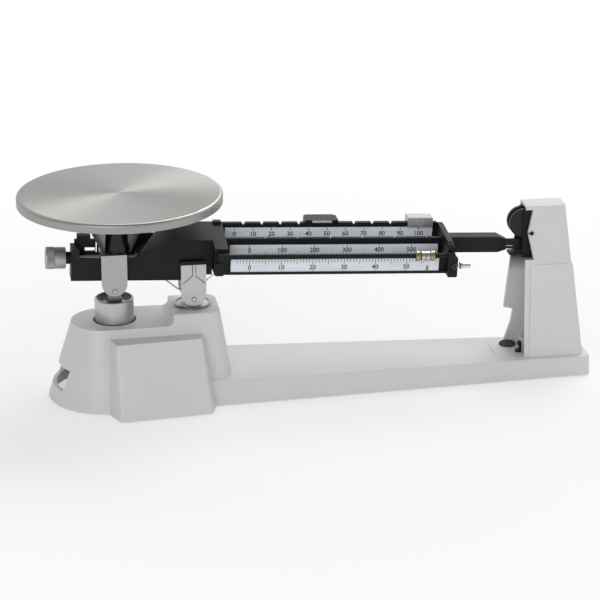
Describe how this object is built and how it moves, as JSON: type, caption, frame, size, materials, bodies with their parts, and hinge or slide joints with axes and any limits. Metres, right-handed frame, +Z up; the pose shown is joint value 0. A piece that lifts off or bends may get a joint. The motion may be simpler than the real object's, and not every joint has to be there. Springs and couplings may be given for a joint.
{
  "type": "triple beam balance",
  "caption": "Mechanical laboratory balance: round steel pan on a tilting beam with sliding poises, scale plates, a magnetic damper in a column and a cast base.",
  "frame": {"origin": "middle of the footprint's box, on the surface that the balance stands on", "axes": "+X along the beam from the pan to the damper column, +Y to the back, +Z up"},
  "size_m": [0.4347, 0.1524, 0.1585],
  "materials": {
    "casting_paint": "light grey fine-textured paint",
    "rubber": "matt black rubber",
    "beam_black": "satin black paint on aluminium",
    "scale_plate": "printed aluminium, black figures",
    "steel": "brushed stainless steel",
    "black_steel": "blackened steel",
    "satin_aluminium": "satin aluminium",
    "magnet": "dark grey magnet",
    "chrome": "polished nickel",
    "brass": "turned brass",
    "black_plastic": "gloss black"
  },
  "bodies": {
    "base": {"base_casting": "casting_paint", "base_feet": "rubber", "column_casting": "casting_paint", "column_screws": "steel", "front_magnet": "magnet", "rear_magnet": "magnet", "magnet_yoke": "black_steel", "lower_stop_pad": "rubber", "upper_stop_pad": "rubber", "index_pointer": "black_steel", "deck_bumper": "rubber", "column_clip": "black_steel", "fulcrum_bracket": "satin_aluminium", "fulcrum_bearings": "steel", "fulcrum_caps": "black_plastic", "fulcrum_seat_ring": "chrome", "fulcrum_pin": "steel", "link_base_pin": "steel"},
    "beam": {"beam_arm": "beam_black", "fulcrum_knife": "steel", "pan_knife": "steel", "rear_bar": "beam_black", "middle_bar": "beam_black", "front_bar": "beam_black", "rider_rod": "black_steel", "rear_scale": "scale_plate", "middle_scale": "scale_plate", "front_scale": "scale_plate", "end_plate": "beam_black", "tail_bar": "beam_black", "damper_blade": "satin_aluminium", "knife_bail": "steel", "attachment_pin": "chrome", "bar_screws": "black_steel", "zero_bush": "black_plastic"},
    "zero_knob": {"zero_knob": "satin_aluminium", "zero_spindle": "steel"},
    "balance_nut": {"balance_nut": "brass"},
    "rear_poise": {"rear_poise": "steel"},
    "heavy_poise": {"heavy_poise": "black_steel", "poise_tongue": "brass"},
    "rider": {"rider_spool": "brass", "rider_collar": "steel"},
    "pan_support": {"stirrup": "satin_aluminium", "pan_bearings": "steel", "stirrup_pin": "steel", "hanger_head": "satin_aluminium", "hanger_sleeve": "satin_aluminium", "check_stem": "satin_aluminium", "stem_pin": "steel", "support_hub": "black_plastic", "support_spider": "satin_aluminium"},
    "pan": {"pan_dish": "steel", "pan_stud": "steel"},
    "check_link": {"check_link": "satin_aluminium"}
  },
  "joints": [
    {"name": "beam_tilt", "type": "hinge", "parent": "base", "child": "beam", "pos_m": [-0.08865, 0, 0.093], "axis": [0, -1, 0], "range_deg": [0, 5.5]},
    {"name": "pan_support_level", "type": "hinge", "parent": "beam", "child": "pan_support", "pos_m": [-0.14758, 0, 0.09583], "axis": [0, -1, 0], "range_deg": [-5.5, 0]},
    {"name": "check_link_swing", "type": "hinge", "parent": "base", "child": "check_link", "pos_m": [-0.08865, 0, 0.03], "axis": [0, -1, 0], "range_deg": [0, 5.5]},
    {"name": "pan_lift", "type": "slide", "parent": "pan_support", "child": "pan", "axis": [0, 0, 1], "range_m": [0, 0.04]},
    {"name": "zero_knob_turn", "type": "hinge", "parent": "beam", "child": "zero_knob", "pos_m": [-0.17996, 0, 0.1096], "axis": [0.9988, 0, -0.048], "range_deg": [-1800, 1800]},
    {"name": "balance_nut_travel", "type": "slide", "parent": "beam", "child": "balance_nut", "axis": [0.9988, 0, -0.048], "range_m": [-0.005, 0.005]},
    {"name": "rear_poise_slide", "type": "slide", "parent": "beam", "child": "rear_poise", "axis": [0.9988, 0, -0.048], "range_m": [-0.026, 0.003]},
    {"name": "heavy_poise_slide", "type": "slide", "parent": "beam", "child": "heavy_poise", "axis": [0.9988, 0, -0.048], "range_m": [-0.058, 0.026]},
    {"name": "rider_slide", "type": "slide", "parent": "beam", "child": "rider", "axis": [0.9988, 0, -0.048], "range_m": [-0.137, 0.008]}
  ],
  "couplings": [
    {"joint": "pan_support_level", "follows": "beam_tilt", "ratio": -1},
    {"joint": "check_link_swing", "follows": "beam_tilt", "ratio": 1},
    {"joint": "balance_nut_travel", "follows": "zero_knob_turn", "m_per_rad": 0.00015915}
  ]
}
